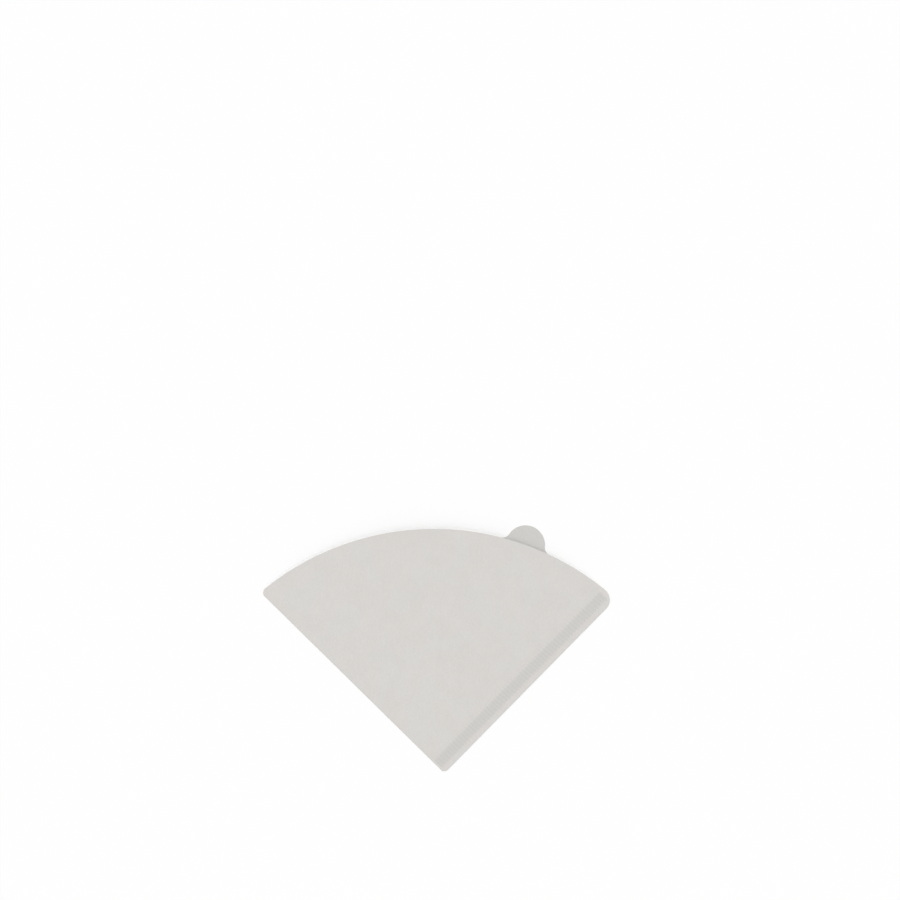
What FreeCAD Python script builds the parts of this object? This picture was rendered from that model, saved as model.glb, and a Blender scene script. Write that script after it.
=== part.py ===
import FreeCAD, Part
import math
import os

import Sketcher

# A cone filter folded flat: one sheet, bent along its left edge, with its two layers crimped together
# along the right edge. Its mouth is the arc at the top, and a round pull tab grows from the back layer.
#
# Drawing frame, in millimetres and degrees: the point where the two straight edges would meet is at the
# origin, +Y runs up the middle of the filter, and the underside lies on Z = 0.

sizes = [
    ("foldEdge", 129.0, "tip to mouth along the fold, corners sharp"),
    ("seamEdge", 122.3, "tip to mouth along the seam, corners sharp"),
    ("tipAngle", 90.0, "between the fold and the seam"),
    ("mouthRadius", 135.3, "arc of the mouth"),
    ("tipRounding", 2.5, "radius of the tip"),
    ("foldRounding", 2.8, "radius between the fold and the mouth"),
    ("seamRounding", 6.3, "radius between the seam and the mouth"),
    ("paperThickness", 0.25, "one layer of paper"),
    ("rimStep", 0.06, "rim of the front layer above the pressed paper"),
    ("foldStrip", 0.6, "pressed paper along the fold"),
    ("openingAngle", 1.0, "rise of the front layer, up the middle of the pocket"),
    ("archStart", 2.0, "pocket's point to where the front layer starts to rise"),
    ("pressedLength", 9.0, "pocket's point to where the layers part"),
    ("layerLap", 0.05, "angle by which the raised layer runs on into the pressed paper"),
    ("seamMargin", 3.0, "plain paper outside the crimp"),
    ("crimpWidth", 5.5, "length of a crimp rib, across the seam"),
    ("pocketClearance", 0.5, "plain paper between the crimp and the pocket"),
    ("firstRib", 2.0, "fold line to the middle of the first rib, along the seam"),
    ("lastRib", 3.7, "least distance from the last rib to the seam's mouth corner"),
    ("ribPitch", 1.85, "rib to rib, along the seam"),
    ("ribWidth", 1.25, "one rib, along the seam"),
    ("ribHeight", 0.35, "crest of a rib above the paper"),
    ("tabRadius", 9.75, "round end of the pull tab"),
    ("tabFromSeam", 52.5, "middle of the tab's round end to the seam's mouth corner"),
    ("tabFillet", 4.0, "rounding where the tab leaves the mouth"),
    ("trimRelief", 0.05, "trimming line outside the bend of the fold"),
]
start = {name: value for name, value, _ in sizes}
farStart = start["foldEdge"] + start["seamEdge"]

# Formulas that several features share. The layers part along one line beside the crimp and one beside
# the fold. The pocket's point is where the two lines meet, which is a little left of the middle line.
pressedStack = "2 * paperThickness"
pocketInset = "seamMargin + crimpWidth + pocketClearance"
pointUp = "(" + pocketInset + " + foldStrip) / (2 * sin(tipAngle / 2))"
pointAside = "(foldStrip - (" + pocketInset + ")) / (2 * cos(tipAngle / 2))"
beyondMouth = "foldEdge + seamEdge"

# The raised front layer is part of a flat cone that meets the back layer along those two lines. Its
# axis dips by this angle from level.
coneDip = "atan((cos(openingAngle) - cos(tipAngle / 2)) / sin(openingAngle))"

# The sketcher's numbers for the ends and the centre of a curve, and for the origin and the X axis.
head, tail, centre = 1, 2, 3
originPoint = (-1, 1)
axisX, axisY = -1, -2


def makeSheet(doc):
    sheet = doc.addObject("Spreadsheet::Sheet", "Sizes")
    for row, (name, value, note) in enumerate(sizes, start=1):
        sheet.set("A%d" % row, name)
        sheet.set("B%d" % row, str(value))
        sheet.set("C%d" % row, note)
        sheet.setAlias("B%d" % row, name)
    doc.recompute()


# The formula with every size's name pointing at its cell.
def bound(formula):
    for name in start:
        formula = formula.replace(name, "Sizes." + name)
    return formula


def addFeature(body, kind, name, **expressions):
    feature = body.newObject("PartDesign::" + kind, name)
    for field, formula in expressions.items():
        feature.setExpression(field, bound(formula))
    return feature


def addSketch(body, name, plane):
    sketch = body.newObject("Sketcher::SketchObject", name)
    support = [item for item in body.Origin.OriginFeatures if item.Role == plane][0]
    sketch.AttachmentSupport = [(support, "")]
    sketch.MapMode = "FlatFace"
    return sketch


# Turns a sketch on the upright XZ plane about Z.
def turnUpright(sketch, angle):
    aboutZ = FreeCAD.Rotation(FreeCAD.Vector(0, 1, 0), 1)
    sketch.AttachmentOffset = FreeCAD.Placement(FreeCAD.Vector(), aboutZ)
    sketch.setExpression("AttachmentOffset.Rotation.Angle", bound(angle))


# Shifts a sketch along its plane's own axes, the third of which stands on the plane.
def shift(sketch, **formulas):
    for axis, formula in formulas.items():
        sketch.setExpression("AttachmentOffset.Base." + axis, bound(formula))


def tie(sketch, *constraint):
    return sketch.addConstraint(Sketcher.Constraint(*constraint))


def dimension(sketch, name, formula, *constraint):
    sketch.renameConstraint(tie(sketch, *constraint), name)
    sketch.setExpression("Constraints." + name, bound(formula))


def addLine(sketch, begin, end, construction=False):
    return sketch.addGeometry(Part.LineSegment(begin, end), construction)


# An arc that runs counter-clockwise between two directions, in degrees.
def addArc(sketch, middle, radius, begin, end, construction=False):
    circle = Part.Circle(middle, FreeCAD.Vector(0, 0, 1), radius)
    curve = Part.ArcOfCircle(circle, math.radians(begin), math.radians(end))
    return sketch.addGeometry(curve, construction)


def closeLoop(sketch, edges):
    for edge, following in zip(edges, edges[1:] + edges[:1]):
        tie(sketch, "Coincident", edge, tail, following, head)


def polar(middle, radius, direction):
    turn = math.radians(direction)
    return middle + FreeCAD.Vector(math.cos(turn), math.sin(turn), 0) * radius


def bearing(point, middle):
    return math.degrees(math.atan2(point.y - middle.y, point.x - middle.x))


# The sharp corners at the mouth and the centre of its arc.
def mouthLayout():
    half = start["tipAngle"] / 2
    fold = polar(FreeCAD.Vector(), start["foldEdge"], 90 + half)
    seam = polar(FreeCAD.Vector(), start["seamEdge"], 90 - half)
    chord = seam - fold
    drop = math.sqrt(start["mouthRadius"] ** 2 - chord.Length ** 2 / 4)
    return fold, seam, polar((fold + seam) / 2, drop, bearing(seam, fold) - 90)


# Two construction lines from the origin to the sharp corners carry the lengths and the angles.
def addEdges(sketch):
    fold, seam, _ = mouthLayout()
    foldLine = addLine(sketch, FreeCAD.Vector(), fold, True)
    seamLine = addLine(sketch, FreeCAD.Vector(), seam, True)
    tie(sketch, "Coincident", foldLine, head, *originPoint)
    tie(sketch, "Coincident", seamLine, head, *originPoint)
    dimension(sketch, "fold", "foldEdge", "Distance", foldLine, start["foldEdge"])
    dimension(sketch, "seam", "seamEdge", "Distance", seamLine, start["seamEdge"])
    lean = math.radians(90 - start["tipAngle"] / 2)
    dimension(sketch, "lean", "90 - tipAngle / 2", "Angle", axisX, head, seamLine, head, lean)
    tip = math.radians(start["tipAngle"])
    dimension(sketch, "tip", "tipAngle", "Angle", seamLine, head, foldLine, head, tip)
    return foldLine, seamLine


# The mouth's circle goes through both sharp corners.
def fitMouth(sketch, mouth, foldLine, seamLine):
    tie(sketch, "PointOnObject", foldLine, tail, mouth)
    tie(sketch, "PointOnObject", seamLine, tail, mouth)
    dimension(sketch, "mouth", "mouthRadius", "Radius", mouth, start["mouthRadius"])


# A point on the curve a little way from the corner that it ends at.
def besideCorner(curve, corner):
    ends = (curve.FirstParameter, curve.LastParameter)
    near, far = sorted(ends, key=lambda end: (curve.value(end) - corner).Length)
    return curve.value(near + (far - near) / 20)


def roundCorner(sketch, name, one, other, corner):
    places = [besideCorner(sketch.Geometry[edge], corner) for edge in (one, other)]
    sketch.fillet(one, other, *places, start[name], 1, False)
    rounding = sketch.GeometryCount - 1
    dimension(sketch, name, name, "Radius", rounding, start[name])


# The whole outline without the tab. Its left line stands just outside the bend of the fold.
def drawOutline(sketch):
    fold, seam, mouthCentre = mouthLayout()
    foldSide = addLine(sketch, fold, FreeCAD.Vector())
    seamSide = addLine(sketch, FreeCAD.Vector(), seam)
    directions = (bearing(seam, mouthCentre), bearing(fold, mouthCentre))
    mouth = addArc(sketch, mouthCentre, start["mouthRadius"], *directions)
    closeLoop(sketch, [foldSide, seamSide, mouth])
    roundCorner(sketch, "tipRounding", foldSide, seamSide, FreeCAD.Vector())
    roundCorner(sketch, "seamRounding", seamSide, mouth, seam)
    roundCorner(sketch, "foldRounding", mouth, foldSide, fold)
    foldLine, seamLine = addEdges(sketch)
    fitMouth(sketch, mouth, foldLine, seamLine)
    relief = start["trimRelief"]
    for end, name in ((head, "reliefAtMouth"), (tail, "reliefAtTip")):
        tie(sketch, "PointOnObject", seamSide, end, seamLine)
        dimension(sketch, name, "trimRelief", "Distance", foldSide, end, foldLine, relief)


# A square round the outline, so that cutting between the two leaves the outline.
def drawSurround(sketch):
    half = 2 * farStart
    corners = [FreeCAD.Vector(x * half, y * half) for x, y in ((-1, -1), (1, -1), (1, 1), (-1, 1))]
    sides = [addLine(sketch, a, b) for a, b in zip(corners, corners[1:] + corners[:1])]
    closeLoop(sketch, sides)
    for side, way in zip(sides, ("Horizontal", "Vertical", "Horizontal", "Vertical")):
        tie(sketch, way, side)
    tie(sketch, "Symmetric", sides[0], head, sides[1], tail, *originPoint)
    across = "4 * (" + beyondMouth + ")"
    dimension(sketch, "wide", across, "DistanceX", sides[0], head, sides[0], tail, 2 * half)
    dimension(sketch, "deep", across, "DistanceY", sides[1], head, sides[1], tail, 2 * half)


# Section of the sheet across its fold, both layers pressed flat and joined by the bend at X = 0.
def drawPressedSection(sketch):
    radius = start["paperThickness"]
    under = addLine(sketch, FreeCAD.Vector(radius, 0), FreeCAD.Vector(farStart, 0))
    side = addLine(sketch, FreeCAD.Vector(farStart, 0), FreeCAD.Vector(farStart, 2 * radius))
    top = addLine(sketch, FreeCAD.Vector(farStart, 2 * radius), FreeCAD.Vector(radius, 2 * radius))
    bend = addArc(sketch, FreeCAD.Vector(radius, radius), radius, 90, 270)
    tie(sketch, "Coincident", under, tail, side, head)
    tie(sketch, "Coincident", side, tail, top, head)
    tie(sketch, "Tangent", top, tail, bend, head)
    tie(sketch, "Tangent", bend, tail, under, head)
    tie(sketch, "PointOnObject", under, head, axisX)
    tie(sketch, "PointOnObject", under, tail, axisX)
    tie(sketch, "Vertical", side)
    tie(sketch, "Horizontal", top)
    dimension(sketch, "bend", "paperThickness", "Radius", bend, radius)
    dimension(sketch, "inset", "paperThickness", "DistanceX", *originPoint, bend, centre, radius)
    dimension(sketch, "reach", beyondMouth, "DistanceX", *originPoint, under, tail, farStart)


def makePressedSheet(body):
    section = addSketch(body, "FoldSection", "XZ_Plane")
    drawPressedSection(section)
    turnUpright(section, "tipAngle / 2")
    sheet = addFeature(body, "Pad", "PressedSheet", Length="2 * (" + beyondMouth + ")")
    sheet.Profile = section
    sheet.SideType = "Symmetric"


# Plan of the pocket, with its point at the sketch's origin: it widens from the pressed paper at the tip
# to beyond the mouth, between the two lines along which the layers part.
def drawPocketPlan(sketch):
    near = start["pressedLength"]
    slope = math.tan(math.radians(start["tipAngle"] / 2))
    corners = [(-near, near), (near, near), (farStart, farStart), (-farStart, farStart)]
    places = [FreeCAD.Vector(x * slope, y) for x, y in corners]
    nearSide, right, farSide, left = (
        addLine(sketch, a, b) for a, b in zip(places, places[1:] + places[:1]))
    closeLoop(sketch, [nearSide, right, farSide, left])
    tie(sketch, "Horizontal", farSide)
    tie(sketch, "Symmetric", nearSide, head, nearSide, tail, axisY)
    tie(sketch, "PointOnObject", *originPoint, right)
    tie(sketch, "PointOnObject", *originPoint, left)
    lean = math.radians(90 - start["tipAngle"] / 2)
    dimension(sketch, "lean", "90 - tipAngle / 2", "Angle", axisX, head, right, head, lean)
    dimension(sketch, "near", "pressedLength", "DistanceY", *originPoint, right, head, near)
    dimension(sketch, "far", beyondMouth, "DistanceY", *originPoint, right, tail, farStart)


# The layers part inside this plan, down to the top of the back layer.
def openPocket(body):
    sketch = addSketch(body, "PocketPlan", "XY_Plane")
    drawPocketPlan(sketch)
    shift(sketch, x=pointAside, y=pointUp, z=pressedStack)
    pocket = addFeature(body, "Pocket", "Parting", Length="paperThickness")
    pocket.Profile = sketch


# Section of the raised front layer up the middle of the pocket, and the axis of its cone.
def drawFrontSection(sketch):
    rise, thickness = math.radians(start["openingAngle"]), start["paperThickness"]
    along = FreeCAD.Vector(math.cos(rise), math.sin(rise))
    up = FreeCAD.Vector(-math.sin(rise), math.cos(rise)) * thickness
    near, far = along * start["archStart"], along * farStart
    places = [near, far, far + up, near + up]
    under, mouthEnd, top, tipEnd = (
        addLine(sketch, a, b) for a, b in zip(places, places[1:] + places[:1]))
    closeLoop(sketch, [under, mouthEnd, top, tipEnd])
    tie(sketch, "PointOnObject", *originPoint, under)
    for one, other, how in ((mouthEnd, under, "Perpendicular"), (top, under, "Parallel"),
                            (tipEnd, under, "Perpendicular")):
        tie(sketch, how, one, other)
    dimension(sketch, "rise", "openingAngle", "Angle", axisX, head, under, head, rise)
    dimension(sketch, "near", "archStart", "Distance", *originPoint, under, head, start["archStart"])
    dimension(sketch, "thick", "paperThickness", "Distance", tipEnd, thickness)
    dimension(sketch, "far", beyondMouth, "Distance", *originPoint, under, tail, farStart)
    half = math.radians(start["tipAngle"] / 2)
    dip = math.atan2(math.cos(rise) - math.cos(half), math.sin(rise))
    axisEnd = polar(FreeCAD.Vector(), start["foldEdge"], -math.degrees(dip))
    axis = addLine(sketch, FreeCAD.Vector(), axisEnd, True)
    tie(sketch, "Coincident", axis, head, *originPoint)
    dimension(sketch, "axisLength", "foldEdge", "Distance", axis, start["foldEdge"])
    dimension(sketch, "dip", coneDip, "Angle", axis, head, axisX, head, dip)


# The front layer turns about the cone's axis from one line of the pocket to the other.
def raiseFrontLayer(body):
    sketch = addSketch(body, "FrontSection", "YZ_Plane")
    drawFrontSection(sketch)
    shift(sketch, x=pointUp, y="paperThickness + rimStep", z=pointAside)
    coneAngle = "(" + coneDip + " + openingAngle * 1 deg)"
    turn = "acos((cos(tipAngle / 2) * cos(openingAngle) - cos" + coneAngle + " ^ 2)"
    turn += " / sin" + coneAngle + " ^ 2)"
    front = addFeature(body, "Revolution", "FrontLayer", Angle="2 * (" + turn + " + layerLap * 1 deg)")
    front.Profile = sketch
    front.ReferenceAxis = (sketch, ["Axis0"])
    front.Midplane = True


def trimToOutline(body):
    sketch = addSketch(body, "Outline", "XY_Plane")
    drawOutline(sketch)
    drawSurround(sketch)
    trim = addFeature(body, "Pocket", "Trim", Length=beyondMouth)
    trim.Profile = sketch
    trim.SideType = "Symmetric"


# The tab's round end is centred on the mouth's arc, and a fillet on each side leads into that arc.
def drawTab(sketch):
    _, seam, mouthCentre = mouthLayout()
    mouth, tabEnd, fillet = start["mouthRadius"], start["tabRadius"], start["tabFillet"]
    away = math.degrees(2 * math.asin(start["tabFromSeam"] / (2 * mouth)))
    middle = bearing(seam, mouthCentre) + away
    tabCentre = polar(mouthCentre, mouth, middle)
    lean = math.degrees(math.acos(
        (mouth ** 2 + (mouth + fillet) ** 2 - (tabEnd + fillet) ** 2) / (2 * mouth * (mouth + fillet))))
    rightCentre = polar(mouthCentre, mouth + fillet, middle - lean)
    leftCentre = polar(mouthCentre, mouth + fillet, middle + lean)
    rightTurn, leftTurn = bearing(tabCentre, rightCentre), bearing(tabCentre, leftCentre)
    right = addArc(sketch, rightCentre, fillet, rightTurn, middle - lean + 180)
    tab = addArc(sketch, tabCentre, tabEnd, rightTurn - 180, leftTurn + 180)
    left = addArc(sketch, leftCentre, fillet, middle + lean + 180, leftTurn + 360)
    root = addArc(sketch, mouthCentre, mouth, middle - lean, middle + lean, True)
    foldLine, seamLine = addEdges(sketch)
    fitMouth(sketch, root, foldLine, seamLine)
    tie(sketch, "Tangent", root, head, right, tail)
    tie(sketch, "Tangent", right, head, tab, head)
    tie(sketch, "Tangent", tab, tail, left, tail)
    tie(sketch, "Tangent", left, head, root, tail)
    tie(sketch, "PointOnObject", tab, centre, root)
    tie(sketch, "Equal", left, right)
    dimension(sketch, "fillet", "tabFillet", "Radius", right, fillet)
    dimension(sketch, "round", "tabRadius", "Radius", tab, tabEnd)
    fromSeam = start["tabFromSeam"]
    dimension(sketch, "fromSeam", "tabFromSeam", "Distance", tab, centre, seamLine, tail, fromSeam)
    chordEnds = [polar(mouthCentre, mouth, middle + side * lean) for side in (1, -1)]
    chord = addLine(sketch, *chordEnds)
    tie(sketch, "Coincident", chord, head, left, head)
    tie(sketch, "Coincident", chord, tail, right, tail)


def makeTab(body):
    sketch = addSketch(body, "TabOutline", "XY_Plane")
    drawTab(sketch)
    tab = addFeature(body, "Pad", "PullTab", Length="paperThickness")
    tab.Profile = sketch


# A rib's section along the seam: a flat base on the sketch's X axis and a round back.
def drawRib(sketch):
    halfWide, high, along = start["ribWidth"] / 2, start["ribHeight"], start["firstRib"]
    radius = (halfWide ** 2 + high ** 2) / (2 * high)
    middle = FreeCAD.Vector(along, high - radius)
    spread = math.degrees(math.acos((radius - high) / radius))
    back = addArc(sketch, middle, radius, 90 - spread, 90 + spread)
    low = along - halfWide
    base = addLine(sketch, FreeCAD.Vector(low, 0), FreeCAD.Vector(along + halfWide, 0))
    crest = sketch.addGeometry(Part.Point(FreeCAD.Vector(along, high)), True)
    closeLoop(sketch, [back, base])
    tie(sketch, "PointOnObject", base, head, axisX)
    tie(sketch, "PointOnObject", base, tail, axisX)
    tie(sketch, "PointOnObject", crest, head, back)
    dimension(sketch, "wide", "ribWidth", "DistanceX", base, head, base, tail, 2 * halfWide)
    dimension(sketch, "along", "firstRib", "DistanceX", *originPoint, crest, head, along)
    dimension(sketch, "low", "firstRib - ribWidth / 2", "DistanceX", *originPoint, base, head, low)
    dimension(sketch, "high", "ribHeight", "DistanceY", *originPoint, crest, head, high)


# The crimp presses both layers together: each rib stands up on top and leaves its groove below.
def makeCrimp(body):
    parts = []
    for kind, name in (("Pad", "Rib"), ("Pocket", "Groove")):
        sketch = addSketch(body, name + "Section", "XZ_Plane")
        drawRib(sketch)
        turnUpright(sketch, "90 - tipAngle / 2")
        shift(sketch, x="-seamMargin * cos(tipAngle / 2)", z="-seamMargin * sin(tipAngle / 2)")
        if kind == "Pad":
            shift(sketch, y=pressedStack)
        feature = addFeature(body, kind, name, Length="crimpWidth")
        feature.Profile = sketch
        feature.Reversed = kind == "Pad"
        parts.append(feature)
    count = "floor((seamEdge - firstRib - lastRib) / ribPitch) + 1"
    crimp = addFeature(body, "LinearPattern", "Crimp", Offset="ribPitch", Occurrences=count)
    crimp.Originals = parts
    crimp.Direction = (parts[0].Profile[0], ["H_Axis"])
    crimp.Mode = "Spacing"
    body.Tip = crimp


def makeFilter(doc):
    body = doc.addObject("PartDesign::Body", "PaperFilter")
    body.Label = "paper_filter"
    makePressedSheet(body)
    openPocket(body)
    raiseFrontLayer(body)
    trimToOutline(body)
    makeTab(body)
    makeCrimp(body)
    doc.recompute()
    return body


# The finished part stands with the middle of its box, seen from above, on the origin.
def centreOnOrigin(doc, body):
    box = body.Shape.optimalBoundingBox(False)
    body.Placement = FreeCAD.Placement(FreeCAD.Vector(-box.Center.x, -box.Center.y, 0), FreeCAD.Rotation())
    doc.recompute()


def checkDocument(doc, body):
    for item in doc.Objects:
        if "Invalid" in item.State or "Error" in item.State:
            raise RuntimeError(item.Name + " failed: " + str(item.State))
    if body.Shape.isNull() or not body.Shape.isValid() or len(body.Shape.Solids) != 1:
        raise RuntimeError(body.Label + " isn't one valid solid")


doc = FreeCAD.newDocument("CoffeeFilter")
makeSheet(doc)
paperFilter = makeFilter(doc)
centreOnOrigin(doc, paperFilter)
checkDocument(doc, paperFilter)
os.makedirs("parts", exist_ok=True)
paperFilter.Shape.exportStep("parts/" + paperFilter.Label + ".step")
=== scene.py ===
import math

import bpy
import numpy as np
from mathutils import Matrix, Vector
from mathutils.geometry import delaunay_2d_cdt


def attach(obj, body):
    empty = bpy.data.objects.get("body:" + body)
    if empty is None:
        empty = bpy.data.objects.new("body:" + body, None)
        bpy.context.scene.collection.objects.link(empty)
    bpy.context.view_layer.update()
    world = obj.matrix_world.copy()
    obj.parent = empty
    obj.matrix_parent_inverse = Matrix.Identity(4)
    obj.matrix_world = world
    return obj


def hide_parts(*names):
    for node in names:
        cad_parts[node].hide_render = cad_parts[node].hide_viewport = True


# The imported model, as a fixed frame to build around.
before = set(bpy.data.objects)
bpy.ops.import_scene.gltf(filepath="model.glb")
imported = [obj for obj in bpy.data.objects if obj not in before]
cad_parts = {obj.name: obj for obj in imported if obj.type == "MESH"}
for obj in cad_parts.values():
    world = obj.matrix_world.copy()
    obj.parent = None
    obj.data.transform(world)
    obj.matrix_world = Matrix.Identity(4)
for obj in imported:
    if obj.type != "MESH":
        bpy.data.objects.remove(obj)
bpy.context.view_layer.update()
print("frame loaded,", len(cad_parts), "node")

mm = 0.001

# The filter, in millimetres and degrees. Its outline, pocket and ribs are those of the CAD part.
filterSizes = {
    "foldEdge": 129.0,         # tip to mouth along the fold, corners sharp
    "seamEdge": 122.3,         # tip to mouth along the seam, corners sharp
    "tipAngle": 90.0,
    "mouthRadius": 135.3,
    "tipRounding": 2.5,
    "foldRounding": 2.8,
    "seamRounding": 6.3,
    "paperThickness": 0.25,
    "cutThickness": 0.235,     # leaves a hair of air between the pressed layers
    "openingAngle": 1.0,       # rise of the front layer up the middle
    "pocketInset": 9.0,        # seam edge to the pocket
    "foldStrip": 0.6,          # fold edge to the pocket
    "tabRadius": 9.75,
    "tabFromSeam": 52.5,
    "tabFillet": 4.0,
    "loosePaper": 0.10,        # height of the slow waves in the front layer
    "looseSpan": 34.0,         # length of those waves
    "looseSeed": 4.0,
    "seamMargin": 3.0,         # plain paper outside the ribs
    "crimpWidth": 5.5,         # length of a rib
    "firstRib": 2.0,           # along the seam, from the tip's corner
    "lastRib": 3.7,            # and at least this far from the mouth's corner
    "ribPitch": 1.85,
    "ribHeight": 0.30,
    "ribFade": 0.65,           # how softly a rib ends
    "shadeOutwards": 1.2,      # how softly the pressed paper's tone and painted rib shade end, towards the seam's edge
    "shadeInwards": 2.1,       # and towards the panel
}

# Spacing of the sheet's points, in millimetres, and the rows of faces round the fold.
meshSizes = {
    "plainStep": 1.6,
    "alongRibs": 0.23,
    "acrossRibs": 0.42,
    "edgeStep": 0.6,
    "foldSteps": 6,
}


def polar(centre, radius, degrees):
    turn = math.radians(degrees)
    return (centre[0] + radius * math.cos(turn), centre[1] + radius * math.sin(turn))


def bearing(point, centre):
    return math.degrees(math.atan2(point[1] - centre[1], point[0] - centre[0]))


def arcPoints(centre, radius, begin, end, step):
    count = max(3, round(abs(math.radians(end - begin)) * radius / step))
    return [polar(centre, radius, begin + (end - begin) * k / count) for k in range(count + 1)]


def linePoints(begin, end, step):
    begin, end = np.array(begin), np.array(end)
    count = max(1, round(math.dist(begin, end) / step))
    return [tuple(begin + (end - begin) * k / count) for k in range(count)]


# The sharp corners at the mouth and the centre of its arc, from the filter's tip.
def mouthLayout():
    half = filterSizes["tipAngle"] / 2
    fold = polar((0, 0), filterSizes["foldEdge"], 90 + half)
    seam = polar((0, 0), filterSizes["seamEdge"], 90 - half)
    middle = ((fold[0] + seam[0]) / 2, (fold[1] + seam[1]) / 2)
    drop = math.sqrt(filterSizes["mouthRadius"] ** 2 - (math.dist(fold, seam) / 2) ** 2)
    return fold, seam, polar(middle, drop, bearing(seam, fold) - 90)


# A rounding between a straight edge from the tip and the mouth's arc: its centre and its two ends.
def cornerRounding(direction, inward, radius, mouthCentre):
    along = np.array(polar((0, 0), 1, direction))
    start = np.array(polar((0, 0), radius, inward)) - np.array(mouthCentre)
    reach = filterSizes["mouthRadius"] - radius
    back = start @ along
    run = -back + math.sqrt(back * back - start @ start + reach * reach)
    centre = start + along * run + np.array(mouthCentre)
    onEdge = tuple(along * run)
    onMouth = polar(mouthCentre, filterSizes["mouthRadius"], bearing(centre, mouthCentre))
    return tuple(centre), onEdge, onMouth


# The pull tab from right to left: a fillet, the round end and a fillet.
def tabPoints(seam, mouthCentre, step):
    mouth, end, fillet = (filterSizes[k] for k in ("mouthRadius", "tabRadius", "tabFillet"))
    away = math.degrees(2 * math.asin(filterSizes["tabFromSeam"] / (2 * mouth)))
    middle = bearing(seam, mouthCentre) + away
    centre = polar(mouthCentre, mouth, middle)
    lean = math.degrees(math.acos((mouth ** 2 + (mouth + fillet) ** 2 - (end + fillet) ** 2)
                                  / (2 * mouth * (mouth + fillet))))
    right = polar(mouthCentre, mouth + fillet, middle - lean)
    left = polar(mouthCentre, mouth + fillet, middle + lean)
    rightTurn, leftTurn = bearing(centre, right), bearing(centre, left)
    points = arcPoints(right, fillet, middle - lean + 180, rightTurn, step)[:-1]
    points += arcPoints(centre, end, rightTurn - 180, leftTurn + 180, step)[:-1]
    points += arcPoints(left, fillet, leftTurn + 360, middle + lean + 180, step)
    return points, middle - lean, middle + lean


# Outline of one layer, counter-clockwise from the fold's lower end. The fold side is left open: it runs
# along the line where the bend begins.
def layerOutline(withTab):
    step = meshSizes["edgeStep"]
    curveStep = step / 2
    half = filterSizes["tipAngle"] / 2
    _, seam, mouthCentre = mouthLayout()
    mouth, tip, seamRounding, foldRounding = (
        filterSizes[k] for k in ("mouthRadius", "tipRounding", "seamRounding", "foldRounding"))
    tipCentre = (0, tip / math.sin(math.radians(half)))
    points = arcPoints(tipCentre, tip, 270 - half, 270 + half, step)
    centre, onEdge, onMouth = cornerRounding(90 - half, 180 - half, seamRounding, mouthCentre)
    points += linePoints(points[-1], onEdge, step)[1:]
    points += arcPoints(centre, seamRounding, -half, bearing(centre, mouthCentre), curveStep)[:-1]
    foldCentre, _, mouthEnd = cornerRounding(90 + half, half, foldRounding, mouthCentre)
    start, stop = bearing(onMouth, mouthCentre), bearing(mouthEnd, mouthCentre)
    if withTab:
        tab, tabRight, tabLeft = tabPoints(seam, mouthCentre, curveStep)
        points += arcPoints(mouthCentre, mouth, start, tabRight, step)[:-1]
        points += tab[:-1]
        points += arcPoints(mouthCentre, mouth, tabLeft, stop, step)[:-1]
    else:
        points += arcPoints(mouthCentre, mouth, start, stop, step)[:-1]
    points += arcPoints(foldCentre, foldRounding, bearing(mouthEnd, foldCentre), 180 + half, curveStep)
    return np.array(points)


# Which points lie within an outline.
def inside(points, outline):
    x, y = points[:, 0:1], points[:, 1:2]
    a, b = outline, np.roll(outline, -1, 0)
    crosses = (a[:, 1] > y) != (b[:, 1] > y)
    with np.errstate(divide="ignore", invalid="ignore"):
        where = a[:, 0] + (y - a[:, 1]) / (b[:, 1] - a[:, 1]) * (b[:, 0] - a[:, 0])
    return (crosses & (x < where)).sum(1) % 2 == 1


# Which points lie farther than a distance from an outline.
def clearOf(points, outline, distance):
    a, b = outline, np.roll(outline, -1, 0)
    edge = b - a
    length = (edge ** 2).sum(1)
    shortest = 1e-9                # an edge of no length divides by this
    kept = np.ones(len(points), bool)
    for k in range(len(a)):
        t = np.clip(((points - a[k]) @ edge[k]) / max(length[k], shortest), 0, 1)
        gap = np.linalg.norm(points - a[k] - t[:, None] * edge[k], axis=1)
        kept &= gap > distance
    return kept


# Points from distances along the seam and in from it.
def fromSeam(along, inward):
    half = math.radians(filterSizes["tipAngle"] / 2)
    sine, cosine = math.sin(half), math.cos(half)
    a, t = (grid.ravel() for grid in np.meshgrid(along, inward))
    return np.stack([a * sine - t * cosine, a * cosine + t * sine], 1)


# The points inside one layer: rows across the crimp close together, the plain paper wider apart.
def layerPoints(outline):
    sizes = filterSizes
    edgeGap, slack = 0.12, 0.01    # keep points off the edge, and let the crimp's last row in
    crimpStart = sizes["seamMargin"] - sizes["ribFade"]
    crimpEnd = sizes["seamMargin"] + sizes["crimpWidth"] + sizes["ribFade"]
    reach = sizes["foldEdge"] + sizes["tabRadius"]
    fine = fromSeam(np.arange(0, reach, meshSizes["alongRibs"]),
                    np.arange(crimpStart, crimpEnd + slack, meshSizes["acrossRibs"]))
    fine = fine[inside(fine, outline)]
    fine = fine[clearOf(fine, outline, edgeGap)]
    step = meshSizes["plainStep"]
    plain = fromSeam(np.arange(step / 2, reach, step), np.arange(crimpEnd + step / 2, reach, step))
    plain = plain[inside(plain, outline)]
    plain = plain[clearOf(plain, outline, step / 3)]
    return np.concatenate([fine, plain])


# Where the outline meets the line at which the bend begins, between two of its points.
def crossing(outline, height, one, other):
    share = height[one] / (height[one] - height[other])
    return tuple(outline[one] + (outline[other] - outline[one]) * share)


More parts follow.
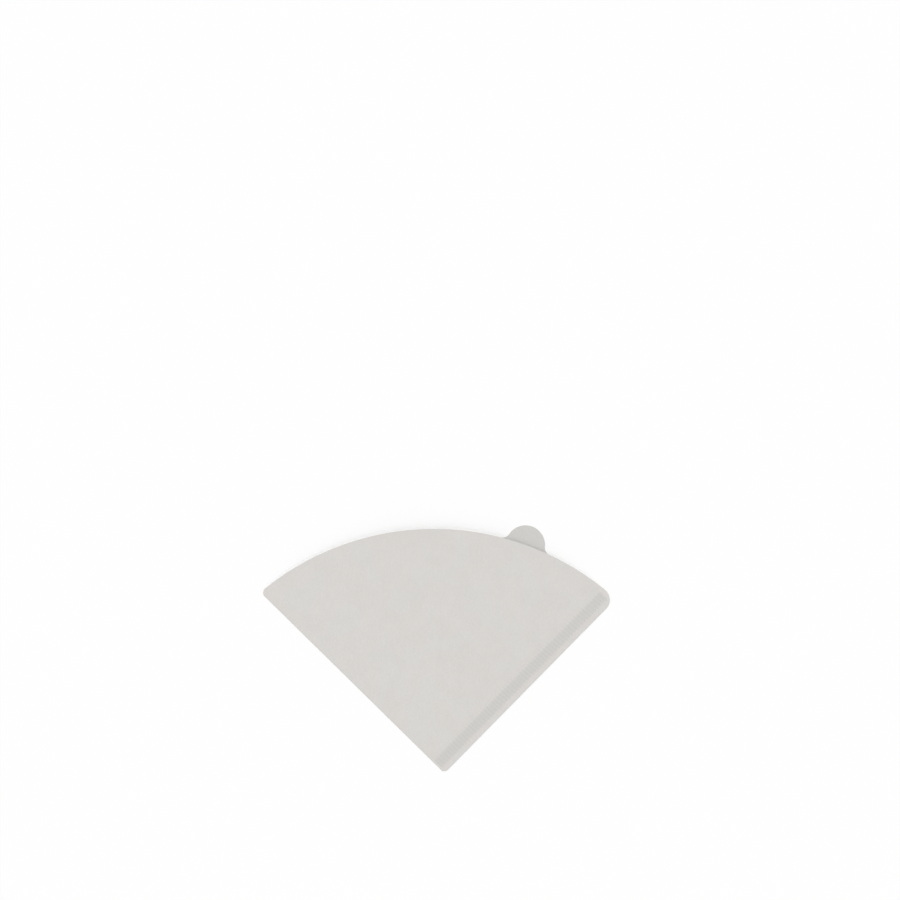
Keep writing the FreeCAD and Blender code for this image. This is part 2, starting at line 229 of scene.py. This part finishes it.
# Cuts one layer out of the sheet as triangles.
def cutLayer(withTab):
    half = math.radians(filterSizes["tipAngle"] / 2)
    outline = layerOutline(withTab)
    foldIn = outline @ np.array([math.cos(half), math.sin(half)]) - filterSizes["paperThickness"]
    kept = np.flatnonzero(foldIn > 0)
    first, last = kept[0], kept[-1]
    ends = [crossing(outline, foldIn, last, last + 1), crossing(outline, foldIn, first, first - 1)]
    foldRow = np.array(linePoints(ends[0], ends[1], meshSizes["plainStep"]) + [ends[1]])
    outline = np.concatenate([outline[kept], foldRow])
    inner = layerPoints(outline)
    points = [Vector(p) for p in outline] + [Vector(p) for p in inner]
    insideOnly, tolerance = 1, 1e-6
    made = delaunay_2d_cdt(points, [], [list(range(len(outline)))], insideOnly, tolerance)
    return np.array([tuple(p) for p in made[0]]), [list(f) for f in made[2]], foldRow


# Number of the point nearest to each wanted place.
def nearest(points, wanted):
    return np.array([int(((points - place) ** 2).sum(1).argmin()) for place in wanted])


# The whole sheet lies flat in plan, back layer and front layer, with the bend's rows between them. Each
# point knows its layer: 0 at the back, 1 at the front.
def cutSheet():
    backPoints, backFaces, foldRow = cutLayer(True)
    frontPoints, frontFaces, _ = cutLayer(False)
    rows = meshSizes["foldSteps"]
    points = [backPoints] + [foldRow] * (rows - 1) + [frontPoints]
    layers = [np.zeros(len(backPoints))] + [np.full(len(foldRow), k / rows) for k in range(1, rows)]
    layers.append(np.ones(len(frontPoints)))
    bendStart = len(backPoints)
    frontStart = bendStart + len(foldRow) * (rows - 1)
    faces = [tuple(reversed(face)) for face in backFaces]
    faces += [tuple(corner + frontStart for corner in face) for face in frontFaces]
    strips = [nearest(backPoints, foldRow)]
    strips += [bendStart + len(foldRow) * k + np.arange(len(foldRow)) for k in range(rows - 1)]
    strips.append(frontStart + nearest(frontPoints, foldRow))
    for low, high in zip(strips, strips[1:]):
        faces += [(low[k], low[k + 1], high[k + 1], high[k]) for k in range(len(foldRow) - 1)]
    faces = [tuple(int(corner) for corner in face) for face in faces]
    return np.concatenate(points), np.concatenate(layers), faces


# The tip stands where it puts the middle of the filter's outline on the origin.
def tipPlace():
    outline = layerOutline(True)
    return -(outline.min(0) + outline.max(0)) / 2


# Links a socket to another one, or gives it a value.
def feed(tree, socket, value):
    if isinstance(value, bpy.types.NodeSocket):
        tree.links.new(value, socket)
    else:
        socket.default_value = value


def calc(tree, operation, *values):
    node = tree.nodes.new("ShaderNodeMath")
    node.operation = operation
    for socket, value in zip(node.inputs, values):
        feed(tree, socket, value)
    return node.outputs[0]


# 0 below the first value, 1 above the second, and a smooth rise between them.
def smoothRise(tree, value, low, high):
    node = tree.nodes.new("ShaderNodeMapRange")
    node.interpolation_type = "SMOOTHSTEP"
    for name, fed in (("Value", value), ("From Min", low), ("From Max", high)):
        feed(tree, node.inputs[name], fed)
    return node.outputs["Result"]


# 1 between two places along a line, fading out over a length of its own at each.
def band(tree, value, low, high, lowFade, highFade):
    rising, falling = (
        smoothRise(tree, value, calc(tree, "SUBTRACT", place, fade), calc(tree, "ADD", place, fade))
        for place, fade in ((low, lowFade), (high, highFade)))
    return calc(tree, "SUBTRACT", rising, falling)


# Sum of two values, each times its weight.
def weighted(tree, first, firstWeight, second, secondWeight):
    return calc(tree, "ADD", calc(tree, "MULTIPLY", first, firstWeight),
                calc(tree, "MULTIPLY", second, secondWeight))


# Height of the front layer over the back one: a flat cone from the pocket's point.
def frontRise(tree, given, aside, up, sine, cosine):
    inset, strip = given["Pocket Inset"], given["Fold Strip"]
    pointUp = calc(tree, "DIVIDE", calc(tree, "ADD", inset, strip), calc(tree, "MULTIPLY", sine, 2.0))
    pointAside = calc(tree, "DIVIDE", calc(tree, "SUBTRACT", strip, inset),
                      calc(tree, "MULTIPLY", cosine, 2.0))
    over = calc(tree, "SUBTRACT", up, pointUp)
    beside = calc(tree, "SUBTRACT", aside, pointAside)
    squares = weighted(tree, over, over, beside, beside)
    away = calc(tree, "MULTIPLY", calc(tree, "SQRT", squares), cosine)
    share = calc(tree, "DIVIDE", calc(tree, "SUBTRACT", over, away), calc(tree, "SUBTRACT", 1.0, cosine))
    slope = calc(tree, "TANGENT", given["Opening Angle"])
    return calc(tree, "MULTIPLY", calc(tree, "MAXIMUM", share, 0.0), slope)


# Slow waves of loose paper, none where the front layer lies on the back one.
def looseWaves(tree, given, position, rise):
    wholeFrom = 8.0                # wave heights of rise from which the waves are whole
    waveDetail = 1.0
    noise = tree.nodes.new("ShaderNodeTexNoise")
    noise.noise_dimensions = "4D"
    feed(tree, noise.inputs["Vector"], position)
    feed(tree, noise.inputs["W"], given["Wave Seed"])
    feed(tree, noise.inputs["Scale"], calc(tree, "DIVIDE", 1.0, given["Wave Span"]))
    noise.inputs["Detail"].default_value = waveDetail
    swing = calc(tree, "MULTIPLY", calc(tree, "SUBTRACT", noise.outputs[0], 0.5), 2.0)
    held = smoothRise(tree, rise, 0.0, calc(tree, "MULTIPLY", given["Wave Height"], wholeFrom))
    return calc(tree, "MULTIPLY", calc(tree, "MULTIPLY", swing, given["Wave Height"]), held)


# Height of the crimp's ribs, which both layers share, and how far the paper is pressed there, which also
# sets where painted shade of the ribs darkens it.
def crimpRibs(tree, given, aside, up, sine, cosine):
    halfRib, endFade = 0.5, 0.1    # in turns of the wave
    along = weighted(tree, aside, sine, up, cosine)
    inward = calc(tree, "SUBTRACT", calc(tree, "MULTIPLY", up, sine),
                  calc(tree, "MULTIPLY", aside, cosine))
    turns = calc(tree, "DIVIDE", calc(tree, "SUBTRACT", along, given["First Rib"]), given["Rib Pitch"])
    wave = calc(tree, "COSINE", calc(tree, "MULTIPLY", turns, 2 * math.pi))
    crest = calc(tree, "MULTIPLY", calc(tree, "ADD", wave, 1.0), 0.5)
    margin = given["Seam Margin"]
    ribEnd = calc(tree, "ADD", margin, given["Crimp Width"])
    across = band(tree, inward, margin, ribEnd, given["Rib Fade"], given["Rib Fade"])
    lastTurn = calc(tree, "ADD", given["Rib Count"], -halfRib)
    lengthwise = band(tree, turns, -halfRib, lastTurn, endFade, endFade)
    place = calc(tree, "MULTIPLY", across, lengthwise)
    # the pressed paper's tone and painted shade of the ribs fill this band
    shade = band(tree, inward, margin, ribEnd, given["Shade Outwards"], given["Shade Inwards"])
    pressed = calc(tree, "MULTIPLY", shade, lengthwise)
    return calc(tree, "MULTIPLY", calc(tree, "MULTIPLY", crest, place), given["Rib Height"]), pressed


# Folds the flat sheet, lifts its front layer and presses the crimp into it.
def foldedPlaces(tree, given, layer):
    frontFrom = 0.999              # the front layer is 1, the bend's rows are less
    position = tree.nodes.new("GeometryNodeInputPosition").outputs[0]
    parts = tree.nodes.new("ShaderNodeSeparateXYZ")
    feed(tree, parts.inputs[0], position)
    aside = calc(tree, "SUBTRACT", parts.outputs["X"], given["Tip X"])
    up = calc(tree, "SUBTRACT", parts.outputs["Y"], given["Tip Y"])
    half = calc(tree, "MULTIPLY", given["Tip Angle"], 0.5)
    sine, cosine = calc(tree, "SINE", half), calc(tree, "COSINE", half)
    rise = frontRise(tree, given, aside, up, sine, cosine)
    front = calc(tree, "GREATER_THAN", layer, frontFrom)
    waves = looseWaves(tree, given, position, rise)
    lifted = calc(tree, "MULTIPLY", calc(tree, "ADD", rise, waves), front)
    ribs, crimped = crimpRibs(tree, given, aside, up, sine, cosine)
    paper = given["Paper Thickness"]
    bend = calc(tree, "MULTIPLY", paper, 0.5)
    turn = calc(tree, "MULTIPLY", layer, math.pi)
    bendHeight = calc(tree, "SUBTRACT", paper, calc(tree, "MULTIPLY", calc(tree, "COSINE", turn), bend))
    height = calc(tree, "ADD", calc(tree, "ADD", bendHeight, lifted), ribs)
    outward = calc(tree, "MULTIPLY", calc(tree, "SINE", turn), bend)
    place = tree.nodes.new("ShaderNodeCombineXYZ")
    for axis, share in (("X", cosine), ("Y", sine)):
        moved = calc(tree, "SUBTRACT", parts.outputs[axis], calc(tree, "MULTIPLY", outward, share))
        feed(tree, place.inputs[axis], moved)
    feed(tree, place.inputs["Z"], height)
    return place.outputs[0], crimped


# Stores a value on the geometry as a named attribute.
def marked(tree, geometry, name, value, domain):
    node = tree.nodes.new("GeometryNodeStoreNamedAttribute")
    node.data_type = "FLOAT"
    node.domain = domain
    feed(tree, node.inputs["Geometry"], geometry)
    node.inputs["Name"].default_value = name
    feed(tree, node.inputs["Value"], value)
    return node.outputs[0]


# Gives the folded sheet its thickness, half on each side, and marks its inner face.
def thickened(tree, sheet, thickness):
    joinWithin, sharpFrom = 1e-6, math.radians(50)
    normal = tree.nodes.new("GeometryNodeInputNormal").outputs[0]
    back = tree.nodes.new("ShaderNodeVectorMath")
    back.operation = "SCALE"
    feed(tree, back.inputs[0], normal)
    feed(tree, back.inputs["Scale"], calc(tree, "MULTIPLY", thickness, -0.5))
    inner = tree.nodes.new("GeometryNodeSetPosition")
    feed(tree, inner.inputs["Geometry"], sheet)
    feed(tree, inner.inputs["Offset"], back.outputs[0])
    flipped = tree.nodes.new("GeometryNodeFlipFaces")
    feed(tree, flipped.inputs[0], inner.outputs[0])
    outer = tree.nodes.new("GeometryNodeExtrudeMesh")
    feed(tree, outer.inputs["Mesh"], inner.outputs[0])
    feed(tree, outer.inputs["Offset Scale"], thickness)
    outer.inputs["Individual"].default_value = False
    shaded = tree.nodes.new("GeometryNodeSetShadeSmooth")
    feed(tree, shaded.inputs["Geometry"], outer.outputs["Mesh"])
    feed(tree, shaded.inputs["Shade Smooth"], calc(tree, "SUBTRACT", 1.0, outer.outputs["Side"]))
    joined = tree.nodes.new("GeometryNodeJoinGeometry")
    tree.links.new(marked(tree, shaded.outputs[0], "inner", 0.0, "FACE"), joined.inputs[0])
    tree.links.new(marked(tree, flipped.outputs[0], "inner", 1.0, "FACE"), joined.inputs[0])
    merged = tree.nodes.new("GeometryNodeMergeByDistance")
    feed(tree, merged.inputs["Geometry"], joined.outputs[0])
    merged.inputs["Distance"].default_value = joinWithin
    angle = tree.nodes.new("GeometryNodeInputMeshEdgeAngle").outputs["Unsigned Angle"]
    edges = tree.nodes.new("GeometryNodeSetShadeSmooth")
    edges.domain = "EDGE"
    feed(tree, edges.inputs["Geometry"], merged.outputs[0])
    feed(tree, edges.inputs["Selection"], calc(tree, "GREATER_THAN", angle, sharpFrom))
    edges.inputs["Shade Smooth"].default_value = False
    return edges.outputs[0]


# The tree's inputs, in metres and radians.
def foldingInputs():
    tip = tipPlace()
    sizes = filterSizes
    ribRun = sizes["seamEdge"] - sizes["firstRib"] - sizes["lastRib"]
    return {
        "Tip X": tip[0] * mm,
        "Tip Y": tip[1] * mm,
        "Tip Angle": math.radians(sizes["tipAngle"]),
        "Paper Thickness": sizes["paperThickness"] * mm,
        "Cut Thickness": sizes["cutThickness"] * mm,
        "Opening Angle": math.radians(sizes["openingAngle"]),
        "Pocket Inset": sizes["pocketInset"] * mm,
        "Fold Strip": sizes["foldStrip"] * mm,
        "Wave Height": sizes["loosePaper"] * mm,
        "Wave Span": sizes["looseSpan"] * mm,
        "Wave Seed": sizes["looseSeed"],
        "Seam Margin": sizes["seamMargin"] * mm,
        "Crimp Width": sizes["crimpWidth"] * mm,
        "First Rib": sizes["firstRib"] * mm,
        "Rib Pitch": sizes["ribPitch"] * mm,
        "Rib Height": sizes["ribHeight"] * mm,
        "Rib Fade": sizes["ribFade"] * mm,
        "Shade Outwards": sizes["shadeOutwards"] * mm,
        "Shade Inwards": sizes["shadeInwards"] * mm,
        "Rib Count": float(math.floor(ribRun / sizes["ribPitch"]) + 1),
    }


# The tree reads each point's layer. It leaves crimp and inner for the material to read: where the paper
# is pressed and has painted rib shade, and the inner faces, which get painted shade.
def foldingTree(inputs, material):
    tree = bpy.data.node_groups.new("fold and crimp", "GeometryNodeTree")
    tree.interface.new_socket("Geometry", in_out="INPUT", socket_type="NodeSocketGeometry")
    for name in inputs:
        tree.interface.new_socket(name, in_out="INPUT", socket_type="NodeSocketFloat")
    tree.interface.new_socket("Geometry", in_out="OUTPUT", socket_type="NodeSocketGeometry")
    given = tree.nodes.new("NodeGroupInput").outputs
    layer = tree.nodes.new("GeometryNodeInputNamedAttribute")
    layer.data_type = "FLOAT"
    layer.inputs["Name"].default_value = "layer"
    places, crimped = foldedPlaces(tree, given, layer.outputs["Attribute"])
    folded = tree.nodes.new("GeometryNodeSetPosition")
    feed(tree, folded.inputs["Geometry"], marked(tree, given["Geometry"], "crimp", crimped, "POINT"))
    feed(tree, folded.inputs["Position"], places)
    solid = thickened(tree, folded.outputs[0], given["Cut Thickness"])
    realized = tree.nodes.new("GeometryNodeRealizeInstances")
    feed(tree, realized.inputs[0], solid)
    painted = tree.nodes.new("GeometryNodeSetMaterial")
    feed(tree, painted.inputs["Geometry"], realized.outputs[0])
    painted.inputs["Material"].default_value = material
    tree.links.new(painted.outputs[0], tree.nodes.new("NodeGroupOutput").inputs[0])
    return tree


# The finished filter as a plain mesh.
def makeFilter(material):
    points, layers, faces = cutSheet()
    print("sheet cut,", len(points), "points")
    plan = (points + tipPlace()) * mm
    mesh = bpy.data.meshes.new("flat sheet")
    mesh.from_pydata([(x, y, 0.0) for x, y in plan], [], faces)
    mesh.shade_smooth()
    mesh.attributes.new("layer", "FLOAT", "POINT").data.foreach_set("value", layers.astype(np.float32))
    sheet = bpy.data.objects.new("flat sheet", mesh)
    bpy.context.scene.collection.objects.link(sheet)
    inputs = foldingInputs()
    tree = foldingTree(inputs, material)
    folding = sheet.modifiers.new("fold and crimp", "NODES")
    folding.node_group = tree
    for item in tree.interface.items_tree:
        if item.in_out == "INPUT" and item.name in inputs:
            folding[item.identifier] = float(inputs[item.name])
    folded = bpy.data.meshes.new_from_object(sheet.evaluated_get(bpy.context.evaluated_depsgraph_get()))
    bpy.data.objects.remove(sheet)
    piece = bpy.data.objects.new("coffee_filter", folded)
    bpy.context.scene.collection.objects.link(piece)
    return piece


# Colours of the paper as they look under plain white light, and the grain of its surface; the inner and
# crimped colours also hold painted shade. Sizes are in millimetres, and each detail is a number of finer
# octaves.
paperLooks = {
    "plain": (0.694, 0.671, 0.648),
    "cloudy": (0.676, 0.653, 0.628),
    "warm": (0.702, 0.664, 0.641),
    "cool": (0.684, 0.678, 0.650),
    # painted shade on the inner faces, which show on the tab and inside the pocket
    "inner": (0.627, 0.617, 0.592),
    # pressed paper's darker tone, with painted shade of the ribs
    "crimped": (0.628, 0.614, 0.591),
    "tinting": 0.35,           # share of the cool and warm tints
    "cloudSize": 9.0,
    "cloudDetail": 4.0,
    "cloudLimits": (0.35, 0.68),
    "tintSize": 17.0,
    "tintDetail": 2.0,
    "tintLimits": (0.40, 0.60),
    "clumpSize": 1.1,
    "clumpDetail": 4.0,
    "clumpTone": 0.018,        # swing of the tone from clump to clump
    "fibreBearings": (20.0, 85.0, -40.0),
    "fibreSpacing": 0.9,
    "fibreDetail": 1.5,
    "fibreLength": 4.0,        # times the spacing
    "fibreWidth": 0.05,        # share of the spacing, about
    "fibreTone": 0.022,
    "fibreHeight": 0.25,       # times the height of the clumps and the grain
    "meanTone": 0.995,         # evens out the fibres and clumps
    "grainSize": 0.24,
    "grainDetail": 3.0,
    "feltHeight": 0.060,       # of the bumps
    "pressedFelt": 0.5,        # share of the felt that the crimp presses flat
    "roughness": 0.92,
    "shine": 0.25,
}


# A material, its nodes and its shader.
def makeMaterial(name):
    material = bpy.data.materials.new(name)
    material.use_nodes = True
    nodes = material.node_tree.nodes
    return material, material.node_tree, nodes["Principled BSDF"]


# Soft noise round 0.5, its clouds about as wide as the size.
def cloud(tree, place, size, detail):
    noise = tree.nodes.new("ShaderNodeTexNoise")
    noise.inputs["Scale"].default_value = 1 / (size * mm)
    noise.inputs["Detail"].default_value = detail
    tree.links.new(place, noise.inputs["Vector"])
    return noise.outputs[0]


# Thin winding fibres that lie mostly along one bearing.
def fibres(tree, place, bearingAngle):
    looks = paperLooks
    mapping = tree.nodes.new("ShaderNodeMapping")
    mapping.inputs["Scale"].default_value = (1.0, 1.0 / looks["fibreLength"], 1.0)
    mapping.inputs["Rotation"].default_value[2] = math.radians(bearingAngle)
    tree.links.new(place, mapping.inputs["Vector"])
    noise = cloud(tree, mapping.outputs[0], looks["fibreSpacing"], looks["fibreDetail"])
    fromLine = calc(tree, "ABSOLUTE", calc(tree, "SUBTRACT", noise, 0.5))
    return calc(tree, "SUBTRACT", 1.0, smoothRise(tree, fromLine, 0.0, looks["fibreWidth"]))


def blendColours(tree, amount, first, second):
    node = tree.nodes.new("ShaderNodeMix")
    node.data_type = "RGBA"
    feed(tree, node.inputs["Factor"], amount)
    for socket, colour in zip(node.inputs[6:8], (first, second)):
        feed(tree, socket, colour if isinstance(colour, bpy.types.NodeSocket) else (*colour, 1.0))
    return node.outputs[2]


# An attribute that the folding tree has left on the mesh.
def attribute(tree, name):
    node = tree.nodes.new("ShaderNodeAttribute")
    node.attribute_name = name
    return node.outputs["Fac"]


# Soft white filter paper: faint clouds where its fibres lie thicker, and a felt of fibres and grain.
# The crimp is darker, partly the pressed paper's own tone and partly painted shade of its ribs, and the
# inner faces carry painted shade, as under the front layer and inside the pocket.
def filterPaper():
    looks = paperLooks
    material, tree, shader = makeMaterial("filter paper")
    place = tree.nodes.new("ShaderNodeTexCoord").outputs["Object"]
    crimp = attribute(tree, "crimp")
    clouds = cloud(tree, place, looks["cloudSize"], looks["cloudDetail"])
    clouds = smoothRise(tree, clouds, *looks["cloudLimits"])
    warmth = cloud(tree, place, looks["tintSize"], looks["tintDetail"])
    warmth = smoothRise(tree, warmth, *looks["tintLimits"])
    tint = blendColours(tree, warmth, looks["cool"], looks["warm"])
    colour = blendColours(tree, clouds, looks["plain"], looks["cloudy"])
    colour = blendColours(tree, looks["tinting"], colour, tint)
    # Painted shade: the crimp darker, partly for its pressed paper and partly for the shade of its ribs,
    # and the inner faces darker, as under the front layer and inside the pocket.
    colour = blendColours(tree, crimp, colour, looks["crimped"])
    colour = blendColours(tree, attribute(tree, "inner"), colour, looks["inner"])
    clumps = calc(tree, "SUBTRACT", cloud(tree, place, looks["clumpSize"], looks["clumpDetail"]), 0.5)
    first, second, third = (fibres(tree, place, angle) for angle in looks["fibreBearings"])
    felt = calc(tree, "ADD", calc(tree, "ADD", first, second), third)
    tone = weighted(tree, clumps, 2 * looks["clumpTone"], felt, looks["fibreTone"])
    toned = tree.nodes.new("ShaderNodeVectorMath")
    toned.operation = "SCALE"
    tree.links.new(colour, toned.inputs[0])
    loose = calc(tree, "SUBTRACT", 1.0, calc(tree, "MULTIPLY", crimp, looks["pressedFelt"]))
    scale = calc(tree, "ADD", calc(tree, "MULTIPLY", tone, loose), looks["meanTone"])
    tree.links.new(scale, toned.inputs["Scale"])
    tree.links.new(toned.outputs[0], shader.inputs["Base Color"])
    shader.inputs["Roughness"].default_value = looks["roughness"]
    shader.inputs["Specular IOR Level"].default_value = looks["shine"]
    grain = cloud(tree, place, looks["grainSize"], looks["grainDetail"])
    fibreHeight = calc(tree, "MULTIPLY", felt, looks["fibreHeight"])
    surface = calc(tree, "ADD", fibreHeight, calc(tree, "ADD", grain, clumps))
    bump = tree.nodes.new("ShaderNodeBump")
    bump.inputs["Strength"].default_value = 1.0
    bump.inputs["Distance"].default_value = looks["feltHeight"] * mm
    tree.links.new(calc(tree, "MULTIPLY", surface, loose), bump.inputs["Height"])
    tree.links.new(bump.outputs[0], shader.inputs["Normal"])
    print("paper made")
    return material


# The white table under the filter.
floorLooks = {
    "radius": 4.0,             # metres
    "drop": 0.00002,           # keeps it clear of the paper
    "corners": 96,
    "whiteness": 0.993,
}


def makeFloor():
    looks = floorLooks
    bpy.ops.mesh.primitive_circle_add(vertices=looks["corners"], radius=looks["radius"], fill_type="NGON",
                                      location=(0, 0, -looks["drop"]))
    floor = bpy.context.object
    floor.name = "floor"
    material, _, shader = makeMaterial("white table")
    shader.inputs["Base Color"].default_value = (*[looks["whiteness"]] * 3, 1.0)
    shader.inputs["Roughness"].default_value = 1.0
    shader.inputs["Specular IOR Level"].default_value = 0.0
    floor.data.materials.append(material)
    return floor


# Strengths of the lights, and the window's width and place in degrees.
lightLevels = {
    "room": 0.62,
    "window": 0.38,
    "windowSpread": 24.0,
    "windowTilt": 30.0,
    "windowFrom": 120.0,       # counter-clockwise from +X
}


# The room lights the filter evenly. What the camera sees beyond the floor is white.
def lightRoom():
    world = bpy.data.worlds.new("room")
    bpy.context.scene.world = world
    world.use_nodes = True
    tree = world.node_tree
    background = tree.nodes["Background"]
    path = tree.nodes.new("ShaderNodeLightPath")
    mirrored = calc(tree, "MAXIMUM", path.outputs["Is Glossy Ray"], path.outputs["Is Transmission Ray"])
    seen = calc(tree, "MAXIMUM", path.outputs["Is Camera Ray"], mirrored)
    level = lightLevels["room"]
    strength = calc(tree, "ADD", calc(tree, "MULTIPLY", seen, 1.0 - level), level)
    tree.links.new(strength, background.inputs["Strength"])
    background.inputs["Color"].default_value = (1.0, 1.0, 1.0, 1.0)
    lamp = bpy.data.lights.new("window", "SUN")
    tilt, turn = math.radians(lightLevels["windowTilt"]), math.radians(lightLevels["windowFrom"])
    lamp.energy = lightLevels["window"] * math.pi / math.cos(tilt)
    lamp.angle = math.radians(lightLevels["windowSpread"])
    window = bpy.data.objects.new("window", lamp)
    bpy.context.scene.collection.objects.link(window)
    towards = Vector((math.sin(tilt) * math.cos(turn), math.sin(tilt) * math.sin(turn), math.cos(tilt)))
    window.rotation_euler = towards.to_track_quat("Z", "Y").to_euler()
    window.location = towards


# The camera, in millimetres and degrees.
cameraSizes = {
    "seenWidth": 450.7,        # across the picture, at the paper
    "lens": 90.0,
    "sensor": 36.0,
    "roll": -0.48,
    "aimAside": 4.31,          # middle of the picture from the filter's tip
    "aimUp": 161.62,
}


# The camera looks straight down on the filter.
def aimCamera():
    sizes = cameraSizes
    data = bpy.data.cameras.new("camera")
    data.lens = sizes["lens"]
    data.sensor_width = sizes["sensor"]
    camera = bpy.data.objects.new("camera", data)
    bpy.context.scene.collection.objects.link(camera)
    tip = tipPlace()
    height = sizes["seenWidth"] * sizes["lens"] / sizes["sensor"]
    camera.location = ((tip[0] + sizes["aimAside"]) * mm, (tip[1] + sizes["aimUp"]) * mm, height * mm)
    camera.rotation_euler = (0.0, 0.0, math.radians(sizes["roll"]))
    bpy.context.scene.camera = camera


bpy.context.scene.view_settings.view_transform = "Standard"

aimCamera()
lightRoom()
makeFloor()
print("camera, light and floor")

coffeeFilter = makeFilter(filterPaper())
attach(coffeeFilter, "root")
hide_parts("paper_filter")
print("filter folded and crimped,", len(coffeeFilter.data.polygons), "faces")
